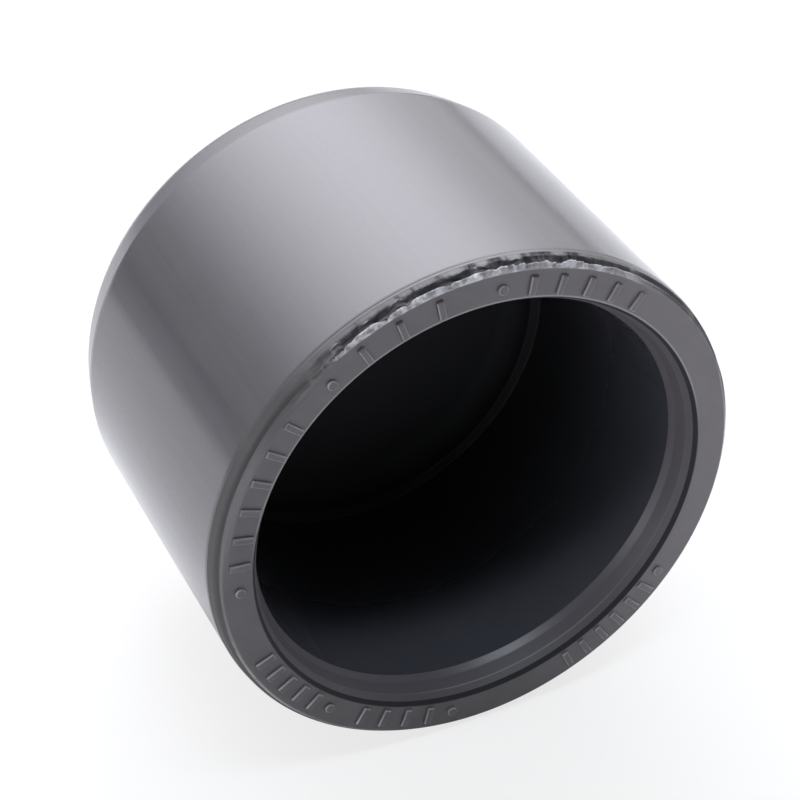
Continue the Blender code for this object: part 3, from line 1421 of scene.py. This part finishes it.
@dataclass(frozen=True)
class Glow:
    """One soft light far off: its direction and widths in degrees, its strength and its colour."""

    azimuth: float
    elevation: float
    width: float
    height: float
    strength: float
    colour: Colour = (1.0, 1.0, 1.0)
    least_ahead: float = 0.05

    def shader(self, graph: Graph, ray: Wire) -> Wire:
        """Return the light's share of the world.

        Args:
            graph: The world's graph.
            ray: The direction that is looked in.

        Returns:
            A background that is brightest in the light's direction and fades round it.
        """
        turn = math.radians(self.azimuth)
        tilt = math.radians(self.elevation)
        level = Vector((math.sin(turn), -math.cos(turn), 0.0))
        rise = Vector((0.0, 0.0, 1.0))
        centre = level * math.cos(tilt) + rise * math.sin(tilt)
        side = centre.cross(rise).normalized()
        over = side.cross(centre)
        ahead = graph.maths("MAXIMUM", graph.dot(ray, centre), self.least_ahead)
        across = graph.dot(ray, side) / ahead / math.tan(math.radians(self.width))
        along = graph.dot(ray, over) / ahead / math.tan(math.radians(self.height))
        fade = graph.maths("EXPONENT", (across * across + along * along) * -0.5)
        return graph.node(
            "Background",
            {},
            {"Color": (*self.colour, 1.0), "Strength": fade * self.strength},
        )


@dataclass
class Studio:
    """The pale table, the soft light behind and above it, and the camera."""

    sizes: CapSizes
    view_azimuth: float = math.radians(-25.254)
    view_elevation: float = math.radians(36.347)
    mouth_in_view: tuple[float, float, float] = (7.233 * MM, -9.676 * MM, 196.14 * MM)
    lens_mm: float = 101.964
    sensor_mm: float = 36.0
    clip_start: float = 0.005
    table_radius: float = 1.6
    table_sides: int = 96
    table_far: tuple[float, float, float] = (-0.62, 0.79, 0.0)
    table_greys: Span = (0.20, 0.29)
    table_colour: Colour = (0.97, 0.97, 0.97)
    table_far_colour: Colour = (0.30, 0.30, 0.30)
    table_even: float = 0.75
    table_even_mirrored: float = 0.10
    key: Glow = Glow(168.5, 40.5, 26.0, 17.0, 5.9, (0.93, 0.925, 1.0))
    low_fill: Glow = Glow(152.0, 6.0, 24.0, 9.0, 0.95)
    overhead: Glow = Glow(0.0, 76.0, 9.0, 2.8, 20.0, (0.84, 0.91, 1.0))
    left_fill: Glow = Glow(-93.0, 8.0, 8.0, 13.0, 12.0)
    right_fill: Glow = Glow(92.0, 9.0, 7.0, 12.0, 6.5)
    room_front: float = 0.05
    room_back: float = 0.38
    room_turn: Span = (-0.2, 0.5)
    room_rise: Span = (math.sin(math.radians(1.0)), math.sin(math.radians(3.6)))

    def build(self) -> None:
        """Set the table, the light and the camera."""
        self._table()
        self._light()
        self._camera()
        bpy.context.scene.view_settings.view_transform = "Standard"

    def _table(self) -> None:
        """Add the table, white round the cap and greyer far off behind it on the left."""
        start_fresh()
        bpy.ops.mesh.primitive_circle_add(
            vertices=self.table_sides,
            radius=self.table_radius,
            fill_type="NGON",
        )
        table = bpy.context.active_object
        table.name = "table"
        made = bpy.data.materials.new("pale_table")
        graph = Graph(made)
        coords = graph.node("TexCoord", output="Object")
        seen = graph.node("LightPath", output="Is Camera Ray")
        far = graph.dot(coords, Vector(self.table_far))
        away = graph.ease(far, *self.table_greys) * (1.0 - seen)
        colour = graph.mix(away, self.table_colour, self.table_far_colour)
        lit = graph.node("BsdfDiffuse", {}, {"Color": colour})
        paper = graph.node("Emission", {}, {"Color": colour, "Strength": 1.0 / self.table_colour[0]})
        mirrored = graph.maths("MAXIMUM", seen.other("Is Glossy Ray"), seen.other("Is Transmission Ray"))
        share = graph.maths("MAXIMUM", seen * self.table_even, mirrored * self.table_even_mirrored)
        graph.surface(graph.node("MixShader", {}, {0: share, 1: lit, 2: paper}))
        table.data.materials.append(made)

    def _light(self) -> None:
        """Light the scene: a dim room, a wide glow behind, a strip overhead, fills low and at the sides."""
        world = bpy.data.worlds.new("studio")
        bpy.context.scene.world = world
        graph = Graph(world)
        ray = graph.node("TexCoord", output="Generated")
        behind = graph.ease(graph.dot(ray, Vector((0.0, 1.0, 0.0))), *self.room_turn)
        above = graph.ease(graph.dot(ray, Vector((0.0, 0.0, 1.0))), *self.room_rise)
        room = self.room_front + above * behind * (self.room_back - self.room_front)
        total = graph.node("Background", {}, {"Color": (1.0, 1.0, 1.0, 1.0), "Strength": room})
        for glow in (self.key, self.low_fill, self.overhead, self.left_fill, self.right_fill):
            total = graph.node("AddShader", {}, {0: total, 1: glow.shader(graph, ray)})
        seen = graph.node("LightPath", output="Is Camera Ray")
        white = graph.node("Background", {}, {"Color": (1.0, 1.0, 1.0, 1.0), "Strength": 1.0})
        graph.surface(graph.node("MixShader", {}, {0: seen, 1: total, 2: white}))

    def _camera(self) -> None:
        """Put the camera at the photograph's viewing angle."""
        turn = self.view_azimuth
        tilt = self.view_elevation
        right = Vector((math.cos(turn), math.sin(turn), 0.0))
        level = Vector((-math.sin(turn), math.cos(turn), 0.0))
        rise = Vector((0.0, 0.0, 1.0))
        ahead = level * math.cos(tilt) - rise * math.sin(tilt)
        upward = level * math.sin(tilt) + rise * math.cos(tilt)
        offset = self.mouth_in_view
        place = self.sizes.point(0.0, 0.0) - right * offset[0] - upward * offset[1] - ahead * offset[2]
        data = bpy.data.cameras.new("camera")
        data.lens = self.lens_mm
        data.sensor_width = self.sensor_mm
        data.clip_start = self.clip_start
        camera = bpy.data.objects.new("camera", data)
        bpy.context.collection.objects.link(camera)
        turned = Matrix((right, upward, -ahead)).transposed().to_4x4()
        camera.matrix_world = Matrix.Translation(place) @ turned
        bpy.context.scene.camera = camera


def main() -> None:
    """Build the cap and its studio."""
    logging.basicConfig(level=logging.INFO)
    sizes = CapSizes.from_frame()
    cap = CapBody(sizes)
    moulding = cap.build()
    cap.dress(moulding)
    LOG.info("%s: %d faces", moulding.name, len(moulding.data.polygons))
    Studio(sizes).build()


if __name__ == "__main__":
    main()
